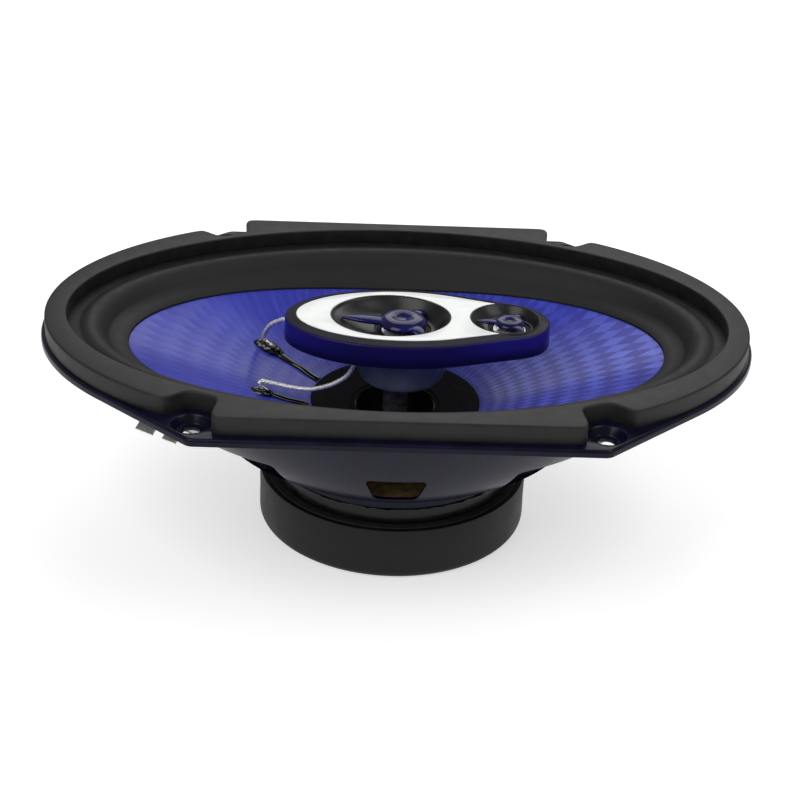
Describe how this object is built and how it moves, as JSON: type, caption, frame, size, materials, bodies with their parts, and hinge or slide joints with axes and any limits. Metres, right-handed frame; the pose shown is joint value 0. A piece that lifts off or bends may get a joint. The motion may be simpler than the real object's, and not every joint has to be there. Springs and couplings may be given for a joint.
{
  "type": "coaxial car speaker",
  "caption": "Oval three-way coaxial car speaker with a stamped steel basket, blue cone, egg-shaped driver pod on a pole post and a rubber-booted magnet.",
  "frame": {"origin": "centre of the four mounting holes, on the plane their dimples seat on", "axes": "+Z the way the cone faces, +X along the long axis towards the tweeter, +Y across the short axis"},
  "size_m": [0.2256, 0.153, 0.0725],
  "materials": {
    "basket_paint": "gloss",
    "gasket_plastic": "satin",
    "surround_butyl": "satin",
    "spider_cloth": "woven",
    "cone_poly": "patterned satin",
    "dust_ring_paper": "matt",
    "steel_plate": "plated",
    "black_steel": "gloss",
    "ferrite": "matt",
    "boot_rubber": "matt",
    "tinned_metal": "bright",
    "terminal_board_paper": "laminate",
    "pod_blue": "deep translucent blue",
    "bowl_blue": "smoky translucent blue",
    "trim_white": "satin",
    "horn_black": "satin",
    "plug_blue": "gloss",
    "dome_film": "satin",
    "neodymium": "plated",
    "coil_copper": "enamelled",
    "former_kraft": "matt",
    "capacitor_film": "gloss",
    "tinsel": "braided",
    "black_glue": "gloss"
  },
  "bodies": {
    "chassis": {"basket": "basket_paint", "basket_rivets": "tinned_metal", "mounting_gasket": "gasket_plastic", "surround": "surround_butyl", "spider": "spider_cloth", "top_plate": "black_steel", "magnet_ring": "ferrite", "pole_yoke": "steel_plate", "magnet_boot": "boot_rubber", "terminal_board": "terminal_board_paper", "terminal_tab_positive": "tinned_metal", "terminal_tab_negative": "tinned_metal", "terminal_rivets": "tinned_metal", "pod_post": "steel_plate", "pod_screw": "steel_plate", "pod_bowl": "bowl_blue", "pod_base_cover": "pod_blue", "pod_housing": "pod_blue", "pod_trim_plate": "trim_white", "mid_horn": "horn_black", "mid_phase_plug": "plug_blue", "mid_pot": "steel_plate", "mid_magnet": "ferrite", "mid_pole_plate": "steel_plate", "mid_suspension": "surround_butyl", "tweeter_horn": "horn_black", "tweeter_phase_plug": "plug_blue", "tweeter_pot": "steel_plate", "tweeter_magnet": "neodymium", "tweeter_pole_plate": "steel_plate", "tweeter_suspension": "surround_butyl", "crossover_capacitor_mid": "capacitor_film", "crossover_capacitor_tweeter": "capacitor_film", "pod_lead_rear": "tinsel", "pod_lead_front": "tinsel", "basket_lead_rear": "tinsel", "basket_lead_front": "tinsel"},
    "cone_assembly": {"cone": "cone_poly", "dust_ring": "dust_ring_paper", "coil_former": "former_kraft", "voice_coil": "coil_copper", "lead_glue_spots": "black_glue", "coil_leads": "black_glue"},
    "mid_dome": {"mid_diaphragm": "dome_film", "mid_voice_coil": "coil_copper"},
    "tweeter_dome": {"tweeter_diaphragm": "dome_film", "tweeter_voice_coil": "coil_copper"}
  },
  "joints": [
    {"name": "cone_stroke", "type": "slide", "parent": "chassis", "child": "cone_assembly", "axis": [0, 0, 1], "range_m": [-0.004, 0.004], "stiffness_N_per_m": 2500, "deforming": ["surround", "spider", "pod_lead_rear", "pod_lead_front", "basket_lead_rear", "basket_lead_front"]},
    {"name": "mid_stroke", "type": "slide", "parent": "chassis", "child": "mid_dome", "axis": [0, 0, 1], "range_m": [-0.0003, 0.0003], "stiffness_N_per_m": 1500, "deforming": ["mid_suspension"]},
    {"name": "tweeter_stroke", "type": "slide", "parent": "chassis", "child": "tweeter_dome", "axis": [0, 0, 1], "range_m": [-0.0002, 0.0002], "stiffness_N_per_m": 1500, "deforming": ["tweeter_suspension"]}
  ]
}
